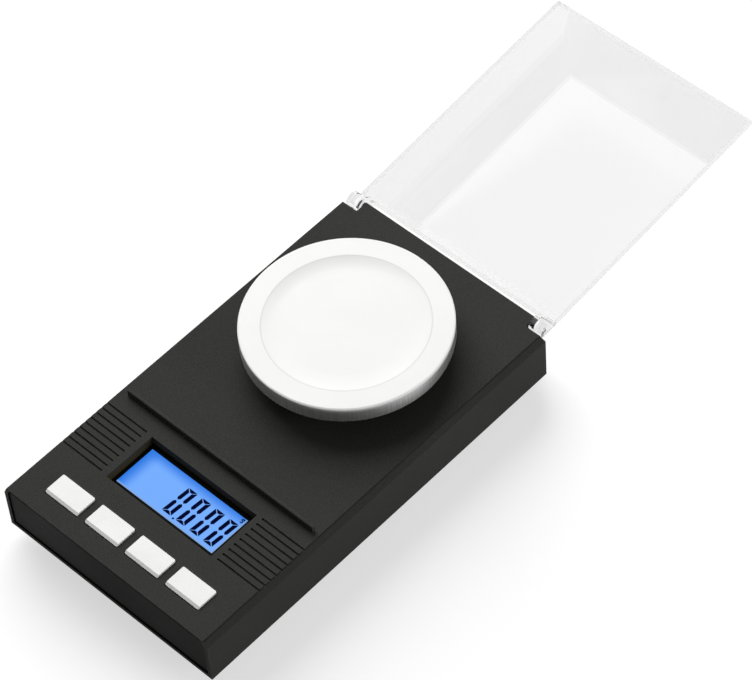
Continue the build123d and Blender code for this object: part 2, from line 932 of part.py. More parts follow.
def make_battery_bay():
    left = -bay_half_length
    right = bay_half_length
    low = door_thickness + cell_clearance
    high = bay_top_z
    tab_top = high + bay_wall + contact_tab_rise
    front_cell, rear_cell = cell_places
    for name, (x, y) in zip(("contact_minus", "contact_plus"), contact_tab_places()):
        plate = block(span(x, contact_thickness), span(y, contact_width), (low, high))
        plate += block(span(x, contact_thickness), span(y, contact_tab_width), (high, tab_top))
        save(name, plate)
    link_x = (right - contact_thickness, right)
    link_y = (front_cell - contact_width / 2, rear_cell + contact_width / 2)
    save("contact_link", block(link_x, link_y, (low, high)))

    flat_left = left + contact_thickness + spring_space
    front = rod_across((flat_left, flat_left + cell_length), front_cell, cell_z, cell_radius)
    nub_start = flat_left + cell_length
    front += rod_across((nub_start, nub_start + cell_nub_length), front_cell, cell_z, cell_nub_radius)
    save("battery_front", front)
    flat_right = right - contact_thickness - spring_space
    rear = rod_across((flat_right - cell_length, flat_right), rear_cell, cell_z, cell_radius)
    nub_end = flat_right - cell_length
    rear += rod_across((nub_end - cell_nub_length, nub_end), rear_cell, cell_z, cell_nub_radius)
    save("battery_rear", rear)

    coil_height = spring_space - 2 * spring_wire_radius
    pitch = coil_height / spring_turns
    for name, x, y in (
        ("contact_spring_front", left + contact_thickness + spring_wire_radius, front_cell),
        ("contact_spring_rear", flat_right + spring_wire_radius, rear_cell),
    ):
        path = Helix(pitch=pitch, height=coil_height, radius=spring_radius)
        section = Plane(path @ 0, z_dir=path % 0) * Circle(spring_wire_radius)
        coil = sweep(section, path=path, is_frenet=True)
        save(name, Pos(x, y, cell_z) * Rot(0, 90, 0) * coil)
        turn = math.hypot(2 * math.pi * spring_radius, pitch)
        expected = spring_turns * turn * math.pi * spring_wire_radius**2
        print(name, "volume over wire length times section", round(coil.volume / expected, 4))
    print("gap between spring turns", round(pitch - 2 * spring_wire_radius, 3))


def make_battery_door():
    ledge_x = bay_half_length + door_ledge - door_gap
    ledge_y = (bay_front_y - door_ledge + door_gap, bay_rear_y + door_ledge - door_gap)
    door = block((-ledge_x, ledge_x), ledge_y, (0, door_thickness))
    middle_y = (bay_front_y + bay_rear_y) / 2
    tab_y = span(middle_y, door_tab_width / 2)
    for side in (-1, 1):
        edge = side * (bay_half_length - contact_thickness - door_gap)
        limits = sorted((edge, edge - side * door_tab_thickness))
        door += block(limits, tab_y, (door_thickness, door_thickness + door_tab_height))
    for index in range(door_groove_count):
        x = ledge_x - (index + 2) * door_groove_pitch
        door -= block(
            span(x, door_groove_width),
            span(middle_y, door_tab_width),
            (-overcut, door_groove_depth),
        )
    save("battery_door", door)

    label_z = (label_recess - label_thickness, label_recess)
    label = block(span(0, label_length), span(label_y, label_width), label_z)
    save("bare_label", label)


def fixed_screw_places():
    """Screws up into the load cell's fixed end."""
    end = -cell_bar_length / 2 + cell_pad_length / 2
    return span(end, cell_screw_spacing)


def free_screw_places():
    """Screws down into the load cell's free end."""
    end = cell_bar_length / 2 - cell_pad_length / 2
    return span(end, cell_screw_spacing)


def make_load_cell():
    half = cell_bar_length / 2
    bar = block((-half, half), span(pan_y, cell_bar_width), (bar_z, bar_top_z))
    middle_z = (bar_z + bar_top_z) / 2
    for side in (-1, 1):
        hole = Pos(side * cell_hole_spacing / 2, pan_y, middle_z) * Rot(90, 0, 0)
        bar -= hole * Cylinder(cell_hole_radius, cell_bar_width + overcut)
    bar -= block(
        span(0, cell_hole_spacing),
        span(pan_y, cell_bar_width + overcut),
        span(middle_z, cell_slot_height),
    )
    for x in fixed_screw_places():
        bar -= post(x, pan_y, cell_screw_radius + screw_grip, (bar_z - overcut, bar_z + cell_screw_bite))
    for x in free_screw_places():
        bar -= post(
            x, pan_y, cell_screw_radius + screw_grip, (bar_top_z - cell_screw_bite, bar_top_z + overcut)
        )
    save("load_cell", bar)

    pad_x = (-half, -half + cell_pad_length)
    spacer = block(pad_x, span(pan_y, cell_bar_width), (floor_thickness, bar_z))
    for x in fixed_screw_places():
        spacer -= post(
            x, pan_y, cell_screw_radius + screw_play, (floor_thickness - overcut, bar_z + overcut)
        )
    save("load_cell_spacer", spacer)

    tip = bar_z + cell_screw_bite - screw_grip
    screws = [
        make_screw(
            x, pan_y, 0, cell_screw_head_radius, cell_screw_head_height, cell_screw_radius, tip
        )
        for x in fixed_screw_places()
    ]
    save("load_cell_screws", *screws)

    gauges = []
    for side in (-1, 1):
        x = side * cell_hole_spacing / 2
        for level in ((bar_top_z, bar_top_z + gauge_thickness), (bar_z - gauge_thickness, bar_z)):
            gauges.append(block(span(x, gauge_length), span(pan_y, gauge_width), level))
    save("strain_gauges", *gauges)

    screws = []
    for y in stop_places():
        head_z = arm_z - platform_travel - cell_clearance / 2
        screws.append(
            make_screw(
                0, y, head_z, stop_head_radius, stop_head_height, stop_screw_radius, floor_thickness
            )
        )
    save("overload_stops", *screws)


def make_platform():
    half = cell_bar_length / 2
    arm = post(0, pan_y, arm_hub_radius, (arm_z, arm_top_z))
    arm += block((0, half), span(pan_y, arm_width), (arm_z, arm_top_z))
    arm += block(
        (half - cell_pad_length, half), span(pan_y, cell_bar_width), (bar_top_z, arm_top_z)
    )
    for x in free_screw_places():
        arm -= post(x, pan_y, cell_screw_radius + screw_play, (bar_top_z - overcut, arm_top_z + overcut))
    arm -= post(
        0, pan_y, support_screw_radius + screw_play, (arm_z - overcut, arm_top_z + overcut)
    )
    save("load_arm", arm)

    screws = [
        make_screw(
            x,
            pan_y,
            arm_top_z + arm_screw_head_height,
            cell_screw_head_radius - screw_play,
            arm_screw_head_height,
            cell_screw_radius,
            bar_top_z - cell_screw_bite + screw_grip,
        )
        for x in free_screw_places()
    ]
    save("arm_screws", *screws)

    disc_z = support_top_z - support_disc_thickness
    support = post(0, pan_y, support_stem_radius, (arm_top_z, disc_z))
    dish_room = pan_under_radius + support_rim_fit
    disc_radius = dish_room + support_rim_width
    support += post(0, pan_y, disc_radius, (disc_z, support_top_z + support_rim_height))
    support -= post(0, pan_y, dish_room, (support_top_z, support_top_z + support_rim_height + overcut))
    head_room = support_top_z - support_screw_head_height - cell_clearance
    support -= post(
        0, pan_y, support_screw_head_radius + screw_play, (head_room, support_top_z + overcut)
    )
    support -= post(
        0, pan_y, support_screw_radius + screw_play, (arm_top_z - overcut, support_top_z)
    )
    save("pan_support", support)
    head_z = head_room + support_screw_head_height
    save(
        "support_screw",
        make_screw(
            0,
            pan_y,
            head_z,
            support_screw_head_radius,
            support_screw_head_height,
            support_screw_radius,
            arm_z,
        ),
    )


def make_pan():
    top = pan_z
    under = top - pan_sheet
    dish = top - pan_dish_depth
    dish_under = under - pan_dish_depth
    skirt_inside = pan_radius - pan_sheet
    # The dish's wall rises from its flat middle as an arc, with the sheet's thickness kept below it.
    wall = TangentArc((pan_flat_radius, dish), (pan_dish_radius, top), tangent=(1, 0))
    back = TangentArc((pan_flat_radius, dish_under), (pan_under_radius, under), tangent=(1, 0))
    rim = Polyline(
        (pan_dish_radius, top),
        (pan_radius, top),
        (pan_radius, pan_bottom_z),
        (skirt_inside, pan_bottom_z),
        (skirt_inside, under),
        (pan_under_radius, under),
    )
    middle = Polyline((pan_flat_radius, dish_under), (0, dish_under), (0, dish), (pan_flat_radius, dish))
    outline = [*wall.edges(), *rim.edges(), *back.edges(), *middle.edges()]
    pan = Pos(0, pan_y, 0) * revolve(Plane.XZ * make_face(outline), Axis.Z)
    near = pan_sheet / 2
    for radius, rounding in ((pan_radius, pan_edge_radius), (pan_dish_radius, pan_dish_fillet)):
        rings = pan.edges().filter_by(GeomType.CIRCLE)
        rings = rings.filter_by(lambda ring: abs(ring.radius - radius) < near)
        pan = fillet(rings.group_by(Axis.Z)[-1], rounding)
    save("pan", pan)


def lead(points, radius):
    """A round wire through these points, with each bend as large as its runs allow."""
    runs = [math.dist(a, b) for a, b in zip(points, points[1:])]
    radii = []
    for index in range(1, len(points) - 1):
        before = Vector(*points[index]) - Vector(*points[index - 1])
        after = Vector(*points[index + 1]) - Vector(*points[index])
        turn = math.radians(before.get_angle(after))
        radii.append(0.45 * min(runs[index - 1], runs[index]) / math.tan(turn / 2))
    path = FilletPolyline(*points, radius=radii)
    section = Plane(path @ 0, z_dir=path % 0) * Circle(radius)
    wire = sweep(section, path=path)
    share = wire.volume / (path.length * math.pi * radius**2)
    print("lead radii", [round(r, 1) for r in radii], "volume share", round(share, 4))
    return wire


def make_leads():
    land_y = board_rear_y - lead_setback
    level = bay_top_z + bay_wall + contact_tab_rise - lead_radius
    names = ("battery_lead_minus", "battery_lead_plus")
    for index, (name, (x, y)) in enumerate(zip(names, contact_tab_places())):
        start_x = x + contact_thickness / 2 + lead_radius
        land_x = lead_landing_x + index * lead_landing_step
        points = [
            (start_x, y, level),
            (start_x + lead_sway, (y + land_y) / 2, level),
            (land_x, land_y, level),
            (land_x, land_y, board_top_z),
        ]
        save(name, lead(points, lead_radius))

    gauge_x = -cell_hole_spacing / 2
    low_level = bar_top_z + gauge_thickness + signal_lead_radius
    high_level = bay_top_z + bay_wall + signal_lead_radius + signal_lead_clearance
    start_y = pan_y - gauge_width / 2
    bay_edge_y = bay_rear_y + bay_wall + signal_lead_sway
    points = [
        (gauge_x, start_y, low_level),
        (gauge_x - signal_lead_sway, start_y - signal_lead_low_run, low_level),
        (gauge_x - signal_lead_sway / 2, bay_edge_y, high_level),
        (gauge_x + signal_lead_sway, (bay_edge_y + land_y) / 2, high_level),
        (gauge_x + signal_lead_sway / 2, land_y, high_level),
        (gauge_x + signal_lead_sway / 2, land_y, board_top_z),
    ]
    save("load_cell_lead", lead(points, signal_lead_radius))


os.makedirs("parts", exist_ok=True)
make_upper_case()
make_front_panel()
make_lower_case()
make_feet()
make_case_screws()
make_cover()
make_display()
make_segments()
make_buttons()
make_board()
make_battery_bay()
make_battery_door()
make_load_cell()
make_platform()
make_pan()
make_leads()
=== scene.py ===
"""Looks of a pocket precision balance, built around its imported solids.

Lengths are in metres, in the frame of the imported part: X runs across the case, Y towards
the hinge and Z up, from the middle of the flat underside.
"""

import math

import bpy
from bpy.props import FloatProperty, FloatVectorProperty, PointerProperty
from mathutils import Matrix, Vector


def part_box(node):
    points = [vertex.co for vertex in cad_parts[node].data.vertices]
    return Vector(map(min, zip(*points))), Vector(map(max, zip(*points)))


bl_info = {
    "name": "Pocket balance looks",
    "version": (1, 0, 0),
    "blender": (4, 5, 0),
    "location": "3D View > Sidebar > Balance",
    "description": "Dresses the packed solids of a pocket precision balance",
    "category": "Object",
}

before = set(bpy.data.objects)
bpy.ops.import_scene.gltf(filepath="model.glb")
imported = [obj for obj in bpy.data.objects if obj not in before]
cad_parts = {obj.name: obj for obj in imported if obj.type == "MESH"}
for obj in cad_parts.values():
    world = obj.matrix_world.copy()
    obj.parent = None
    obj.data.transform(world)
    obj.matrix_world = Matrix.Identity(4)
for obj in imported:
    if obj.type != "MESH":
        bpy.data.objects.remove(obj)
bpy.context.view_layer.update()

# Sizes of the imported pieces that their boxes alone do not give
DECK_LEVEL = 0.02005
BEVEL_IN = 0.0013
RECESS_DEPTH = 0.0017
RECESS_RIM = 0.0011
RECESS_LIP = 0.0003
DISH_RADIUS = 0.02399
WINDOW_DEPTH = 0.0032
WINDOW_SKIRT = 0.0012
FILM_MARGIN = 0.0008
HINGE_AXIS = Vector((0, 0.06862, 0.01877))
COVER_INWARD = Vector((0, 0.117, -0.993))
COVER_RIM = 0.00148
COVER_ROOF = 0.0213
LEFT_WALL_REACH = 0.005

# How far a mask reaches past the face that it colours, or stops short of the next one
RIM_SPARE = 0.00003
SIDE_SPARE = 0.0001
RECESS_SPARE = 0.00015
WINDOW_SPARE = 0.0003

# The range of a noise that is kept
NOISE_MIDDLE = (0.35, 0.65)
NOISE_MOST = (0.3, 0.7)

BLACK = (0, 0, 0)


def middle_of(node):
    """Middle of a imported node's box."""
    low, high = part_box(node)
    return (low + high) / 2


def four(name):
    """The names of four like pieces."""
    return [f"{name}_{index}" for index in range(1, 5)]


def colour_property(name, description, default):
    """A colour that a user can change."""
    return FloatVectorProperty(
        name=name, description=description, default=default, subtype="COLOR", size=3, min=0, max=1
    )


def length_property(name, description, default):
    """A length that a user can change."""
    return FloatProperty(
        name=name, description=description, default=default, unit="LENGTH", min=0, precision=5
    )


def share_property(name, description, default):
    """A share between none and all."""
    return FloatProperty(
        name=name, description=description, default=default, subtype="FACTOR", min=0, max=1
    )


def plain_property(name, description, default, unit="NONE"):
    """A number from zero up."""
    return FloatProperty(name=name, description=description, default=default, unit=unit, min=0)


class BalanceCase(bpy.types.PropertyGroup):
    """Sizes and colours of the black mouldings."""

    deck_colour: colour_property(
        "Case colour", "Black plastic of the top shell", (0.040, 0.040, 0.0375)
    )
    panel_colour: colour_property(
        "Front panel colour", "Black plastic of the front panel", (0.018, 0.018, 0.0175)
    )
    base_colour: colour_property(
        "Bottom shell colour", "Black plastic of the bottom shell and door", (0.026, 0.026, 0.025)
    )
    # Painted shade on the display window's walls, in a warm tint that takes out the display's
    # blue light.
    window_shade_colour: colour_property(
        "Window wall painted shade", "Painted shade, in a warm tint, on the walls round the display", (0.054, 0.042, 0.020)
    )
    edge_radius: length_property("Edge radius", "Rounding of the moulded edges", 0.00022)
    grain_size: length_property("Grain size", "Size of the fine moulded grain", 0.00035)
    grain_depth: length_property("Grain depth", "Depth of the fine moulded grain", 0.00003)
    edge_wear: share_property("Edge wear", "How much the edges are rubbed", 0.35)


class BalanceCover(bpy.types.PropertyGroup):
    """Finish of the clear wind cover."""

    tint: colour_property("Wall tint", "Colour that the clear walls give", (0.79, 0.792, 0.79))
    # The left wall and the roof are tinted lighter (painted light) and the rim's face darker
    # (painted shade) than the other walls.
    left_painted_light_tint: colour_property(
        "Left wall painted light", "Lighter tint of the left wall: painted light", (0.812, 0.814, 0.812)
    )
    roof_painted_light_tint: colour_property(
        "Roof painted light", "Lighter tint of the roof: painted light", (0.872, 0.874, 0.872)
    )
    rim_painted_shade_tint: colour_property("Rim painted shade", "Darker tint of the rim's face: painted shade", (0.62, 0.622, 0.62))
    haze: share_property("Haze", "Roughness of the polished plastic", 0.04)
    scratch_depth: length_property("Scratch depth", "Depth of the fine scratches", 0.000002)


class BalanceDisplay(bpy.types.PropertyGroup):
    """Colours and light of the display."""

    glow_colour: colour_property(
        "Glow colour", "Lit blue in the middle of the display", (0.18, 0.42, 0.99)
    )
    edge_colour: colour_property(
        "Glow edge colour", "Deeper blue at the left and back edges", (0.03, 0.20, 0.78)
    )
    rim_colour: colour_property(
        "Glow rim colour", "Paler strip at the near and right edges", (0.235, 0.39, 0.66)
    )
    ink_colour: colour_property(
        "Stroke colour", "Dark strokes of the digits", (0.002, 0.004, 0.03)
    )
    glow: plain_property("Glow", "Strength of the display's light", 1.0)


class BalancePan(bpy.types.PropertyGroup):
    """Finish of the weighing pan and the buttons."""

    steel_colour: colour_property("Steel colour", "Bright turned steel", (0.93, 0.93, 0.925))
    face_colour: colour_property("Face colour", "Blasted face of the pan", (0.86, 0.86, 0.852))
    face_metal: share_property("Face metal", "How mirror-like the blasted face is", 0.4)
    streaks: plain_property("Streaks", "Streaks down the side per radian", 50.0)
    turning_pitch: length_property("Turning pitch", "Spacing of the turned lines", 0.00025)
    turning_depth: length_property("Turning depth", "Depth of the turned lines", 0.000004)
    button_colour: colour_property("Button colour", "White satin plastic", (0.92, 0.92, 0.915))
    button_radius: length_property("Button edge radius", "Rounding of the buttons", 0.00018)


class BalanceStage(bpy.types.PropertyGroup):
    """Floor and light."""

    floor_colour: colour_property("Floor colour", "Pale floor", (0.46, 0.46, 0.46))
    floor_glow: plain_property("Floor glow", "How much the floor is lifted to white", 0.62)
    ambient: plain_property("Ambient light", "Strength of the light from all round", 0.10)
    key_power: plain_property("Overhead light", "Power of the large lamp", 28.0, "POWER")
    fill_power: plain_property("Side light", "Power of the side lamp", 4.8, "POWER")


def set_inputs(tree, node, inputs):
    """Sets a node's inputs to values, or joins them to sockets."""
    for key, value in inputs.items():
        if isinstance(value, bpy.types.NodeSocket):
            tree.links.new(value, node.inputs[key])
        else:
            node.inputs[key].default_value = value
    return node


def add(tree, kind, inputs=None, **settings):
    """A node with its settings and inputs."""
    node = tree.nodes.new("ShaderNode" + kind)
    for name, value in settings.items():
        setattr(node, name, value)
    return set_inputs(tree, node, inputs or {})


def maths(tree, operation, a, b=0.0, clamp=False):
    """The result of one sum."""
    return add(tree, "Math", {0: a, 1: b}, operation=operation, use_clamp=clamp).outputs[0]


def vector_maths(tree, operation, a, b):
    """The result of one sum on vectors."""
    node = add(tree, "VectorMath", {0: a, 1: b}, operation=operation)
    return node.outputs["Value" if operation == "DOT_PRODUCT" else "Vector"]


def split(tree, vector):
    """The three parts of a vector."""
    return add(tree, "SeparateXYZ", {0: vector}).outputs


def noise(tree, where, scale, detail, roughness=0.5):
    """An even noise."""
    inputs = {"Vector": where, "Scale": scale, "Detail": detail, "Roughness": roughness}
    return add(tree, "TexNoise", inputs).outputs[0]


def remap(tree, value, low, high, new_low=0.0, new_high=1.0):
    """A value carried from one range to another, smoothly and within its limits."""
    inputs = {0: value, 1: low, 2: high, 3: new_low, 4: new_high}
    return add(tree, "MapRange", inputs, interpolation_type="SMOOTHSTEP").outputs[0]


def opaque(colour):
    """A colour with its alpha."""
    return (*colour[:3], 1)


def scaled(colour, factor):
    """A colour made darker or lighter, with its alpha."""
    return opaque([min(part * factor, 1) for part in colour])


def blend_colour(tree, share, a, b):
    """One colour mixed into another."""
    return add(tree, "Mix", {0: share, 6: a, 7: b}, data_type="RGBA").outputs[2]


def place(tree):
    """The point on the object, in metres."""
    return add(tree, "TexCoord").outputs["Object"]


def seen_directly(tree):
    """One for a ray that reaches the eye with no matt surface between, and otherwise none."""
    path = add(tree, "LightPath").outputs
    kinds = maths(tree, "MAXIMUM", path["Is Glossy Ray"], path["Is Transmission Ray"])
    kinds = maths(tree, "MAXIMUM", path["Is Camera Ray"], kinds)
    direct = maths(tree, "LESS_THAN", path["Diffuse Depth"], 0.5)
    return maths(tree, "MULTIPLY", kinds, direct)


def group(name, inputs, outputs):
    """An empty node group, what is given to it by name, and its output node."""
    tree = bpy.data.node_groups.new(name, "ShaderNodeTree")
    for label, default in inputs.items():
        socket = tree.interface.new_socket(label, in_out="INPUT", socket_type="NodeSocketFloat")
        socket.default_value = default
    for label in outputs:
        tree.interface.new_socket(label, in_out="OUTPUT", socket_type="NodeSocketFloat")
    given = tree.nodes.new("NodeGroupInput").outputs
    return tree, given, tree.nodes.new("NodeGroupOutput")


def group_node(tree, name, inputs):
    """What one of the node groups puts out in a material."""
    node = tree.nodes.new("ShaderNodeGroup")
    node.node_tree = bpy.data.node_groups[name]
    return set_inputs(tree, node, inputs).outputs


def make_grain_group():
    """Fine moulded grain with broad uneven patches."""
    tree, given, result = group(
        "Moulded grain",
        {"Grain Size": 0.0004, "Patch Size": 0.02},
        ("Height", "Tone", "Patch"),
    )
    pit_share = 0.6
    where = place(tree)
    fine_scale = maths(tree, "DIVIDE", 1.0, given["Grain Size"])
    fine = noise(tree, where, fine_scale, 2.0, 0.6)
    pits = add(
        tree, "TexVoronoi", {"Vector": where, "Scale": fine_scale}, feature="SMOOTH_F1"
    ).outputs[0]
    height = maths(tree, "ADD", fine, maths(tree, "MULTIPLY", pits, pit_share))
    patch = noise(tree, where, maths(tree, "DIVIDE", 1.0, given["Patch Size"]), 3.0)
    set_inputs(
        tree,
        result,
        {
            "Height": height,
            "Tone": remap(tree, fine, *NOISE_MIDDLE),
            "Patch": remap(tree, patch, *NOISE_MOST),
        },
    )


def make_wear_group():
    """Edges that handling has rubbed."""
    tree, given, result = group("Edge wear", {"Radius": 0.0004, "Patch Size": 0.004}, ("Mask",))
    edge_cosines = (0.999, 0.93)
    worn_noise = (0.35, 0.62)
    rounded = add(tree, "Bevel", {"Radius": given["Radius"]}, samples=4).outputs[0]
    flat = add(tree, "NewGeometry").outputs["Normal"]
    edge = remap(tree, vector_maths(tree, "DOT_PRODUCT", rounded, flat), *edge_cosines)
    patch = noise(tree, place(tree), maths(tree, "DIVIDE", 1.0, given["Patch Size"]), 4.0)
    broken = remap(tree, patch, *worn_noise)
    set_inputs(tree, result, {"Mask": maths(tree, "MULTIPLY", edge, broken, True)})


def make_dust_group():
    """Sparse specks of dust."""
    tree, given, result = group("Dust specks", {"Spacing": 0.004, "Share": 0.1}, ("Mask",))
    speck_edge = (0.045, 0.02)
    scale = maths(tree, "DIVIDE", 1.0, given["Spacing"])
    cells = add(tree, "TexVoronoi", {"Vector": place(tree), "Scale": scale}).outputs
    speck = remap(tree, cells["Distance"], *speck_edge)
    chosen = add(tree, "SeparateColor", {0: cells["Color"]}).outputs[0]
    kept = maths(tree, "LESS_THAN", chosen, given["Share"])
    set_inputs(tree, result, {"Mask": maths(tree, "MULTIPLY", speck, kept)})


def make_scratch_group():
    """Fine scratches that run in every direction."""
    tree, given, result = group("Fine scratches", {"Spacing": 0.006, "Turn": 0.6}, ("Height",))
    stretches = ((30.0, 0.6, 1.0), (0.7, 26.0, 1.0), (20.0, 14.0, 1.0))
    line_noise = (0.68, 0.74)
    scale = maths(tree, "DIVIDE", 1.0, given["Spacing"])
    total = 0.0
    for index, stretch in enumerate(stretches):
        angle = maths(tree, "MULTIPLY", given["Turn"], index + 1.0)
        turned = add(
            tree, "VectorRotate", {"Vector": place(tree), "Angle": angle}, rotation_type="Z_AXIS"
        ).outputs[0]
        along = vector_maths(tree, "MULTIPLY", turned, stretch)
        line = remap(tree, noise(tree, along, scale, 1.0), *line_noise)
        total = maths(tree, "MAXIMUM", total, line)
    set_inputs(tree, result, {"Height": total})


def new_material(name, roughness=0.5, **sockets):
    """A material with its Principled shader, ready for its own nodes."""
    material = bpy.data.materials.new(name)
    material.use_nodes = True
    tree = material.node_tree
    shader = tree.nodes["Principled BSDF"]
    shader.inputs["Roughness"].default_value = roughness
    for label, value in sockets.items():
        shader.inputs[label.replace("_", " ")].default_value = value
    return material, tree, shader


def bump(tree, height, distance):
    """Small relief for a shader's normal."""
    return add(tree, "Bump", {"Height": height, "Distance": distance}).outputs[0]


def moulded(name, colour, look):
    """Grained plastic with rubbed edges and a little dust."""
    material, tree, shader = new_material(name, Specular_IOR_Level=0.03)
    tone_spread = 0.14
    patch_share, patch_gain = 0.25, 1.2
    wear_gain, wear_lift, wear_polish = 2.2, 0.01, 0.2
    dust_share, dust_colour = 0.5, (0.3, 0.3, 0.29)
    roughness, roughness_spread = 0.55, 0.1
    grain = group_node(
        tree, "Moulded grain", {"Grain Size": look.grain_size, "Patch Size": 0.03}
    )
    wear = group_node(tree, "Edge wear", {"Radius": 0.0004, "Patch Size": 0.005})["Mask"]
    specks = group_node(tree, "Dust specks", {"Spacing": 0.0025, "Share": 0.012})["Mask"]
    base = blend_colour(
        tree, grain["Tone"], scaled(colour, 1 - tone_spread), scaled(colour, 1 + tone_spread)
    )
    broad = maths(tree, "MULTIPLY", grain["Patch"], patch_share)
    base = blend_colour(tree, broad, base, scaled(colour, patch_gain))
    rubbed = opaque([part * wear_gain + wear_lift for part in colour])
    wear = maths(tree, "MULTIPLY", wear, look.edge_wear)
    base = blend_colour(tree, wear, base, rubbed)
    specks = maths(tree, "MULTIPLY", specks, dust_share)
    base = blend_colour(tree, specks, base, opaque(dust_colour))
    rough = maths(tree, "MULTIPLY", grain["Patch"], roughness_spread)
    rough = maths(tree, "ADD", roughness, rough)
    polish = maths(tree, "MULTIPLY", wear, wear_polish)
    set_inputs(
        tree,
        shader,
        {
            "Base Color": base,
            "Roughness": maths(tree, "SUBTRACT", rough, polish, True),
            "Normal": bump(tree, grain["Height"], look.grain_depth),
        },
    )
    return material


def plain_plastic(name, colour, roughness=0.4, spread=0.1, **sockets):
    """Smooth plastic or rubber with slight unevenness."""
    material, tree, shader = new_material(name, **sockets)
    roughness_spread = 0.05
    relief = 0.00001
    grain = group_node(tree, "Moulded grain", {"Grain Size": 0.0006, "Patch Size": 0.006})
    dark, light = scaled(colour, 1 - spread), scaled(colour, 1 + spread)
    rough_range = (roughness - roughness_spread, roughness + roughness_spread)
    set_inputs(
        tree,
        shader,
        {
            "Base Color": blend_colour(tree, grain["Patch"], dark, light),
            "Roughness": remap(tree, grain["Tone"], 0.0, 1.0, *rough_range),
            "Normal": bump(tree, grain["Height"], relief),
        },
    )
    return material


def metal(name, colour, roughness=0.3, stretch=(1.0, 1.0, 1.0)):
    """Metal with drawn or milled lines."""
    material, tree, shader = new_material(name, Metallic=1.0)
    line_width = 0.0002
    relief = 0.000004
    smoother, rougher = 0.08, 0.1
    dark_share = 0.82
    along = vector_maths(tree, "MULTIPLY", place(tree), stretch)
    lines = noise(tree, along, 1 / line_width, 3.0)
    grain = group_node(tree, "Moulded grain", {"Grain Size": 0.0005, "Patch Size": 0.004})
    dark, light = scaled(colour, dark_share), opaque(colour)
    rough_range = (roughness - smoother, roughness + rougher)
    set_inputs(
        tree,
        shader,
        {
            "Base Color": blend_colour(tree, grain["Patch"], dark, light),
            "Roughness": remap(tree, lines, *NOISE_MOST, *rough_range),
            "Normal": bump(tree, lines, relief),
        },
    )
    return material


def paint(material, *nodes):
    """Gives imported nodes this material."""
    for name in nodes:
        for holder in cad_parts[name].material_slots:
            holder.material = material


def soften(radius, *nodes):
    """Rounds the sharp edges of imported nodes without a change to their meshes."""
    for name in nodes:
        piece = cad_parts[name]
        weld = piece.modifiers.new("Join corners", "WELD")
        weld.merge_threshold = 1e-6
        edge = piece.modifiers.new("Rounded edges", "BEVEL")
        edge.width = radius
        edge.segments = 2
        edge.limit_method = "ANGLE"
        edge.angle_limit = math.radians(35)
        edge.harden_normals = True
        smooth = piece.modifiers.new("Even shading", "WEIGHTED_NORMAL")
        smooth.keep_sharp = True


def overlay(material, share, colour):
    """Mixes a colour over a material's own."""
    tree = material.node_tree
    socket = tree.nodes["Principled BSDF"].inputs["Base Color"]
    own = socket.links[0].from_socket
    tree.links.new(blend_colour(tree, share, own, opaque(colour)), socket)


def paint_window_shade(material, colour):
    """Paints shade on the walls of the display's window, below the deck: a warm tint that also
    takes out the display's blue light on them.
    """
    tree = material.node_tree
    low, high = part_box("display_mask")
    reach = (high - low) / 2
    offset = split(tree, vector_maths(tree, "SUBTRACT", place(tree), (low + high) / 2))
    inside = maths(tree, "LESS_THAN", offset[2], WINDOW_DEPTH - WINDOW_SPARE)
    for axis in (0, 1):
        distance = maths(tree, "ABSOLUTE", offset[axis])
        limit = reach[axis] - WINDOW_SKIRT + WINDOW_SPARE
        within = maths(tree, "LESS_THAN", distance, limit)
        inside = maths(tree, "MULTIPLY", inside, within)
    overlay(material, inside, colour)


def paint_deck_side_shade(material):
    """Paints a fine line of shade where the deck meets the bevels at its sides."""
    tree = material.node_tree
    line_below = (DECK_LEVEL - 0.0006, DECK_LEVEL - 0.0003)
    strength = 0.4
    x, _, z = split(tree, place(tree))
    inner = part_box("upper_case")[1].x - BEVEL_IN - SIDE_SPARE
    out = maths(tree, "GREATER_THAN", maths(tree, "ABSOLUTE", x), inner)
    line = remap(tree, z, *line_below, 0.0, strength)
    overlay(material, maths(tree, "MULTIPLY", out, line), BLACK)


def paint_recess_shade(material):
    """Paints shade into the gap round the front panel, inside the recess that holds it."""
    tree = material.node_tree
    strength = 0.85
    low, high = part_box("upper_case")
    x, y, z = split(tree, place(tree))
    depth = maths(tree, "SUBTRACT", y, low.y)
    within = maths(tree, "GREATER_THAN", depth, RECESS_SPARE)
    limits = (
        (depth, RECESS_DEPTH),
        (maths(tree, "ABSOLUTE", x), high.x - RECESS_RIM),
        (z, DECK_LEVEL - RECESS_LIP),
    )
    for value, limit in limits:
        within = maths(tree, "MULTIPLY", within, maths(tree, "LESS_THAN", value, limit))
    overlay(material, maths(tree, "MULTIPLY", within, strength), BLACK)


class BALANCE_OT_effects(bpy.types.Operator):
    """Builds the surface effects that several materials share"""

    bl_idname = "balance.effects"
    bl_label = "Surface effects"

    def execute(self, context):
        make_grain_group()
        make_wear_group()
        make_dust_group()
        make_scratch_group()
        return {"FINISHED"}


class BALANCE_OT_case(bpy.types.Operator):
    """Finishes the top shell, front panel, bottom shell, battery door and feet"""

    bl_idname = "balance.case"
    bl_label = "Case"

    def execute(self, context):
        look = context.scene.balance_case
        top_shell = moulded("Housing plastic", look.deck_colour, look)
        # Painted shade: the walls round the display, a fine line at the deck's sides and the gap
        # round the front panel.
        paint_window_shade(top_shell, look.window_shade_colour)
        paint_deck_side_shade(top_shell)
        paint_recess_shade(top_shell)
        paint(top_shell, "upper_case")
        paint(moulded("Panel plastic", look.panel_colour, look), "front_panel")
        paint(moulded("Base plastic", look.base_colour, look), "lower_case", "battery_door")
        soften(look.edge_radius, "upper_case", "front_panel", "lower_case", "battery_door")
        rubber = plain_plastic("Foot rubber", (0.02, 0.02, 0.02), 0.8, Specular_IOR_Level=0.2)
        paint(rubber, *four("rubber_foot"))
        paint(plain_plastic("Label film", (0.5, 0.5, 0.5), 0.45), "bare_label")
        return {"FINISHED"}


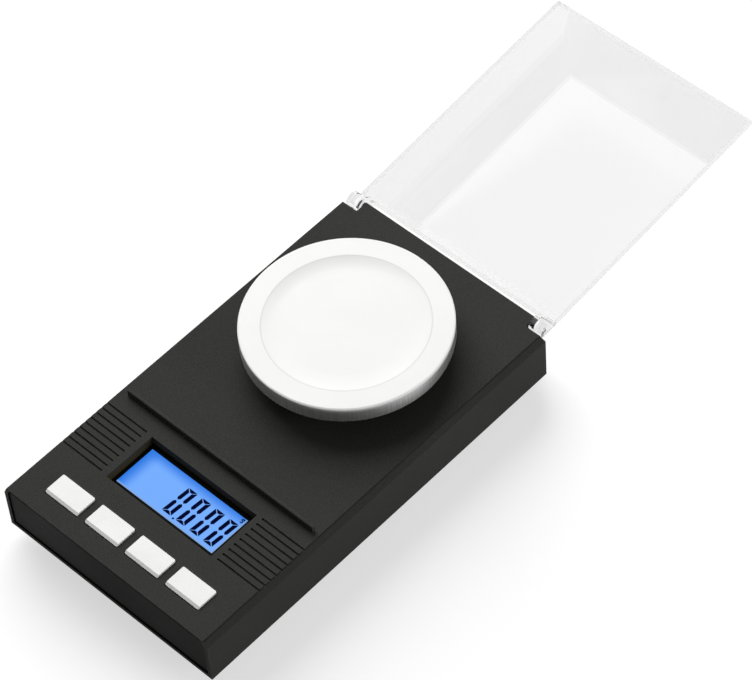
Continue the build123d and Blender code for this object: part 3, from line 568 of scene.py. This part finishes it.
class BALANCE_OT_cover(bpy.types.Operator):
    """Finishes the clear wind cover"""

    bl_idname = "balance.cover"
    bl_label = "Wind cover"

    def execute(self, context):
        look = context.scene.balance_cover
        material, tree, shader = new_material(
            "Clear plastic", Transmission_Weight=1.0, IOR=1.49, Specular_IOR_Level=0.5
        )
        faint_share = 0.97
        scratch_haze = 0.15
        shadow_lift = 0.96
        bounces = 3.5
        scratches = group_node(tree, "Fine scratches", {"Spacing": 0.004, "Turn": 0.9})["Height"]
        grain = group_node(tree, "Moulded grain", {"Grain Size": 0.003, "Patch Size": 0.03})
        clear = blend_colour(
            tree, grain["Patch"], scaled(look.tint, faint_share), opaque(look.tint)
        )
        across = split(tree, place(tree))[0]
        left = maths(tree, "LESS_THAN", across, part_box("wind_cover")[0].x + LEFT_WALL_REACH)
        from_hinge = vector_maths(tree, "SUBTRACT", place(tree), HINGE_AXIS)
        depth = vector_maths(tree, "DOT_PRODUCT", from_hinge, COVER_INWARD)
        roof = maths(tree, "GREATER_THAN", depth, COVER_ROOF)
        from_rim = maths(tree, "ABSOLUTE", maths(tree, "SUBTRACT", depth, COVER_RIM))
        rim = maths(tree, "LESS_THAN", from_rim, RIM_SPARE)
        # The left wall and the roof get lighter tints, painted light; the rim's face a darker
        # one, painted shade.
        for mask, tint in ((left, look.left_painted_light_tint), (roof, look.roof_painted_light_tint), (rim, look.rim_painted_shade_tint)):
            clear = blend_colour(tree, mask, clear, opaque(tint))
        rough = maths(tree, "MULTIPLY", scratches, scratch_haze)
        # The cover throws only a faint shadow, and a ray that has bounced inside it goes on.
        path = add(tree, "LightPath").outputs
        shade = maths(tree, "MULTIPLY", path["Is Shadow Ray"], shadow_lift)
        lit = maths(tree, "SUBTRACT", 1.0, shade)
        early = maths(tree, "LESS_THAN", path["Ray Depth"], bounces)
        set_inputs(
            tree,
            shader,
            {
                "Base Color": clear,
                "Roughness": maths(tree, "ADD", rough, look.haze),
                "Normal": bump(tree, scratches, look.scratch_depth),
                "Alpha": maths(tree, "MULTIPLY", lit, early),
            },
        )
        paint(material, "wind_cover")
        return {"FINISHED"}


class BALANCE_OT_display(bpy.types.Operator):
    """Lights the display and finishes its pieces"""

    bl_idname = "balance.display"
    bl_label = "Display"

    def execute(self, context):
        look = context.scene.balance_display
        low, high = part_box("lcd_polariser")
        left_fade = 0.0052
        back_start, back_fade = 0.0007, 0.004
        rim_width = 0.001
        left_edge, right_edge = low.x + FILM_MARGIN, high.x - FILM_MARGIN
        near_edge, back_edge = low.y + FILM_MARGIN, high.y - FILM_MARGIN
        material, tree, shader = new_material("Lit display", 0.25, Specular_IOR_Level=0.05)
        x, y, _ = split(tree, place(tree))
        left = remap(tree, x, left_edge, left_edge + left_fade)
        back = remap(tree, y, back_edge + back_start, back_edge - back_fade)
        middle = maths(tree, "MULTIPLY", left, back)
        near = remap(tree, y, near_edge + rim_width, near_edge)
        right = remap(tree, x, right_edge - rim_width, right_edge)
        rim = maths(tree, "MAXIMUM", near, right)
        glow = blend_colour(tree, middle, opaque(look.edge_colour), opaque(look.glow_colour))
        glow = blend_colour(tree, rim, glow, opaque(look.rim_colour))
        set_inputs(
            tree,
            shader,
            {
                "Base Color": (0.002, 0.006, 0.02, 1),
                "Emission Color": glow,
                "Emission Strength": look.glow,
            },
        )
        paint(material, "lcd_polariser", "lcd_glass", "lcd_light_guide")
        ink = plain_plastic("Display strokes", look.ink_colour, 0.5, Specular_IOR_Level=0.0)
        paint(ink, "lcd_digits", "lcd_unit_mark")
        mask = plain_plastic("Display mask", (0.010, 0.0095, 0.008), 0.5, Specular_IOR_Level=0.0)
        paint(mask, "display_mask")
        paint(plain_plastic("Display holder", (0.6, 0.6, 0.58), 0.5), "lcd_frame")
        paint(plain_plastic("Contact strip", (0.25, 0.1, 0.1), 0.8), "contact_strip")
        paint(plain_plastic("Lamp bodies", (0.8, 0.85, 0.9), 0.2), "backlight_lamps")
        return {"FINISHED"}


class BALANCE_OT_buttons(bpy.types.Operator):
    """Finishes the four buttons and their switches"""

    bl_idname = "balance.buttons"
    bl_label = "Buttons"

    def execute(self, context):
        look = context.scene.balance_pan
        caps = four("button_cap")
        paint(plain_plastic("Button plastic", look.button_colour, 0.35, 0.02), *caps)
        soften(look.button_radius, *caps)
        paint(plain_plastic("Switch housing", (0.03, 0.03, 0.03), 0.5), *four("switch_body"))
        paint(plain_plastic("Switch plunger", (0.35, 0.05, 0.04), 0.45), *four("switch_plunger"))
        return {"FINISHED"}


class BALANCE_OT_pan(bpy.types.Operator):
    """Finishes the turned steel pan"""

    bl_idname = "balance.pan"
    bl_label = "Weighing pan"

    def execute(self, context):
        look = context.scene.balance_pan
        material, tree, shader = new_material("Turned steel", 0.3, Specular_IOR_Level=0.1)
        face_below, side_below = 0.0009, 0.0015
        dull_share, worn_share = 0.985, 0.82
        dish_edge_shade_band = (0.0003, 0.0001)
        dish_edge_shade_strength = 0.14
        roughness, line_gain, streak_gain, smoother = 0.33, 0.3, 0.06, 0.15
        face_relief = 0.12
        offset = vector_maths(tree, "SUBTRACT", place(tree), middle_of("pan"))
        x, y, z = split(tree, offset)
        square = maths(
            tree, "ADD", maths(tree, "MULTIPLY", x, x), maths(tree, "MULTIPLY", y, y)
        )
        radius = maths(tree, "SQRT", square)
        rings = add(tree, "CombineXYZ", {0: radius, 2: z}).outputs[0]
        lines = noise(tree, rings, 1 / look.turning_pitch, 3.0)
        around = maths(tree, "MULTIPLY", maths(tree, "ARCTAN2", y, x), look.streaks)
        streak = noise(tree, add(tree, "CombineXYZ", {0: around}).outputs[0], 1.0, 3.0)
        # The blasted face is partly matt, and the turned side is bare metal.
        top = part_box("pan")[1].z
        height = split(tree, place(tree))[2]
        side = remap(tree, height, top - face_below, top - side_below)
        grain = group_node(tree, "Moulded grain", {"Grain Size": 0.0006, "Patch Size": 0.012})
        dull = scaled(look.face_colour, dull_share)
        face = blend_colour(tree, grain["Patch"], dull, opaque(look.face_colour))
        # A thin painted shade line where the dish meets the ring.
        edge = maths(tree, "ABSOLUTE", maths(tree, "SUBTRACT", radius, DISH_RADIUS))
        edge = remap(tree, edge, *dish_edge_shade_band, 0.0, dish_edge_shade_strength)
        face = blend_colour(tree, edge, face, opaque(BLACK))
        worn = scaled(look.steel_colour, worn_share)
        tone = remap(tree, streak, *NOISE_MIDDLE)
        bare = blend_colour(tree, tone, opaque(look.steel_colour), worn)
        uneven = maths(
            tree,
            "ADD",
            maths(tree, "MULTIPLY", lines, line_gain),
            maths(tree, "MULTIPLY", streak, streak_gain),
        )
        uneven = maths(tree, "MULTIPLY", side, maths(tree, "SUBTRACT", uneven, smoother))
        relief = maths(tree, "MULTIPLY", lines, remap(tree, side, 0.0, 1.0, face_relief, 1.0))
        set_inputs(
            tree,
            shader,
            {
                "Base Color": blend_colour(tree, side, face, bare),
                "Metallic": remap(tree, side, 0.0, 1.0, look.face_metal, 1.0),
                "Roughness": maths(tree, "ADD", roughness, uneven),
                "Normal": bump(tree, relief, look.turning_depth),
            },
        )
        paint(material, "pan")
        paint(plain_plastic("Support plastic", (0.025, 0.025, 0.025), 0.5), "pan_support")
        return {"FINISHED"}


class BALANCE_OT_inside(bpy.types.Operator):
    """Finishes the circuit board, the load cell, the battery bay and the fasteners"""

    bl_idname = "balance.inside"
    bl_label = "Inside"

    def execute(self, context):
        plastics = (
            ("Solder mask", (0.02, 0.16, 0.06), 0.35, "circuit_board"),
            ("Chip epoxy", (0.02, 0.02, 0.02), 0.5, "processor", "signal_converter"),
            ("Can sleeve", (0.02, 0.03, 0.08), 0.3, "capacitors"),
            ("Gauge foil", (0.6, 0.3, 0.05), 0.35, "strain_gauges"),
            ("Battery jacket", (0.05, 0.12, 0.2), 0.3, "battery_front", "battery_rear"),
            ("Black wire", (0.02, 0.02, 0.02), 0.5, "battery_lead_minus"),
            ("Red wire", (0.4, 0.02, 0.02), 0.5, "battery_lead_plus"),
            ("White wire", (0.7, 0.7, 0.68), 0.5, "load_cell_lead"),
        )
        for name, colour, roughness, *pieces in plastics:
            paint(plain_plastic(name, colour, roughness), *pieces)
        paint(
            metal("Milled aluminium", (0.78, 0.78, 0.79), 0.35, (1, 8, 1)),
            "load_cell",
            "load_arm",
            "load_cell_spacer",
        )
        paint(
            metal("Zinc-plated steel", (0.65, 0.65, 0.65)),
            "case_screws",
            "board_screws",
            "load_cell_screws",
            "arm_screws",
            "support_screw",
            "overload_stops",
        )
        paint(
            metal("Nickel-plated steel", (0.65, 0.63, 0.6), 0.25),
            "contact_minus",
            "contact_plus",
            "contact_link",
            "contact_spring_front",
            "contact_spring_rear",
        )
        return {"FINISHED"}


CAMERA_CENTRE = (0.4440, -0.3764, 0.79005)
CAMERA_RIGHT = (0.73163, 0.67965, -0.05302)
CAMERA_UP = (-0.51392, 0.60098, 0.61213)
CAMERA_LENS = 166.56
CAMERA_SENSOR = 36
CAMERA_SHIFT = (-0.00924, 0.0072)
CAMERA_CLIP = (0.05, 20)
FLOOR_REACH = 6
LAMP_AIM = Vector((0, 0, 0.01))


class BALANCE_OT_stage(bpy.types.Operator):
    """Sets the floor, the light and the camera"""

    bl_idname = "balance.stage"
    bl_label = "Stage"

    def execute(self, context):
        look = context.scene.balance_stage
        scene = context.scene
        scene.view_settings.view_transform = "Standard"
        self.make_camera(scene)
        self.make_floor(scene, look)
        self.make_world(scene, look)
        self.make_lamp(scene, "Window lamp", (-0.9, 0.55, 0.85), 1.4, look.key_power)
        self.make_lamp(scene, "Side lamp", (1.0, 0.25, 0.3), 0.6, look.fill_power)
        return {"FINISHED"}

    def make_camera(self, scene):
        """Places the camera at the photograph's angle."""
        data = bpy.data.cameras.new("Camera")
        data.sensor_width = CAMERA_SENSOR
        data.lens = CAMERA_LENS
        data.shift_x, data.shift_y = CAMERA_SHIFT
        data.clip_start, data.clip_end = CAMERA_CLIP
        right = Vector(CAMERA_RIGHT).normalized()
        back = right.cross(Vector(CAMERA_UP)).normalized()
        turn = Matrix((right, back.cross(right), back)).transposed().to_4x4()
        camera = bpy.data.objects.new("Camera", data)
        camera.matrix_world = Matrix.Translation(CAMERA_CENTRE) @ turn
        scene.collection.objects.link(camera)
        scene.camera = camera

    def make_floor(self, scene, look):
        """Lays a pale floor under the feet that keeps the balance's shadow."""
        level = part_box("rubber_foot_1")[0].z
        corners = ((-1, -1), (1, -1), (1, 1), (-1, 1))
        mesh = bpy.data.meshes.new("Floor")
        mesh.from_pydata(
            [(x * FLOOR_REACH, y * FLOOR_REACH, level) for x, y in corners], [], [(0, 1, 2, 3)]
        )
        floor = bpy.data.objects.new("Floor", mesh)
        scene.collection.objects.link(floor)
        material, tree, shader = new_material("Floor", 0.9, Specular_IOR_Level=0.0)
        duller = 0.99
        grain = group_node(tree, "Moulded grain", {"Grain Size": 0.002, "Patch Size": 0.3})
        dull, pale = scaled(look.floor_colour, duller), opaque(look.floor_colour)
        lit = seen_directly(tree)
        set_inputs(
            tree,
            shader,
            {
                "Base Color": blend_colour(tree, grain["Patch"], dull, pale),
                "Emission Color": add(tree, "CombineColor", {0: lit, 1: lit, 2: lit}).outputs[0],
                "Emission Strength": look.floor_glow,
            },
        )
        floor.data.materials.append(material)

    def make_world(self, scene, look):
        """Makes a white surround that gives the balance only a little light."""
        world = bpy.data.worlds.new("Studio")
        world.use_nodes = True
        scene.world = world
        tree = world.node_tree
        strength = remap(tree, seen_directly(tree), 0.0, 1.0, look.ambient, 1.0)
        set_inputs(tree, tree.nodes["Background"], {"Color": (1, 1, 1, 1), "Strength": strength})

    def make_lamp(self, scene, name, position, size, power):
        """Hangs a round soft lamp that metal and glass do not mirror."""
        data = bpy.data.lights.new(name, "AREA")
        data.shape = "DISK"
        data.size = size
        data.energy = power
        lamp = bpy.data.objects.new(name, data)
        lamp.location = position
        lamp.rotation_euler = (LAMP_AIM - Vector(position)).to_track_quat("-Z", "Y").to_euler()
        lamp.visible_glossy = False
        lamp.visible_transmission = False
        scene.collection.objects.link(lamp)


class BALANCE_PT_panel(bpy.types.Panel):
    """Lists the steps of the balance's looks"""

    bl_idname = "BALANCE_PT_panel"
    bl_label = "Pocket balance"
    bl_space_type = "VIEW_3D"
    bl_region_type = "UI"
    bl_category = "Balance"

    def draw(self, context):
        for step in STEPS:
            self.layout.operator(step.bl_idname)
        for holder in SETTINGS:
            box = self.layout.box()
            values = getattr(context.scene, holder)
            for name in values.bl_rna.properties.keys():
                if name not in ("rna_type", "name"):
                    box.prop(values, name)


STEPS = (
    BALANCE_OT_effects,
    BALANCE_OT_stage,
    BALANCE_OT_case,
    BALANCE_OT_cover,
    BALANCE_OT_display,
    BALANCE_OT_buttons,
    BALANCE_OT_pan,
    BALANCE_OT_inside,
)
SETTINGS = {
    "balance_case": BalanceCase,
    "balance_cover": BalanceCover,
    "balance_display": BalanceDisplay,
    "balance_pan": BalancePan,
    "balance_stage": BalanceStage,
}


def register():
    for group_type in SETTINGS.values():
        bpy.utils.register_class(group_type)
    for step in STEPS:
        bpy.utils.register_class(step)
    bpy.utils.register_class(BALANCE_PT_panel)
    for name, group_type in SETTINGS.items():
        setattr(bpy.types.Scene, name, PointerProperty(type=group_type))


def unregister():
    for name in SETTINGS:
        delattr(bpy.types.Scene, name)
    bpy.utils.unregister_class(BALANCE_PT_panel)
    for step in reversed(STEPS):
        bpy.utils.unregister_class(step)
    for group_type in reversed(SETTINGS.values()):
        bpy.utils.unregister_class(group_type)


def main():
    register()
    for step in STEPS:
        family, name = step.bl_idname.split(".")
        getattr(getattr(bpy.ops, family), name)()


if __name__ == "__main__":
    main()
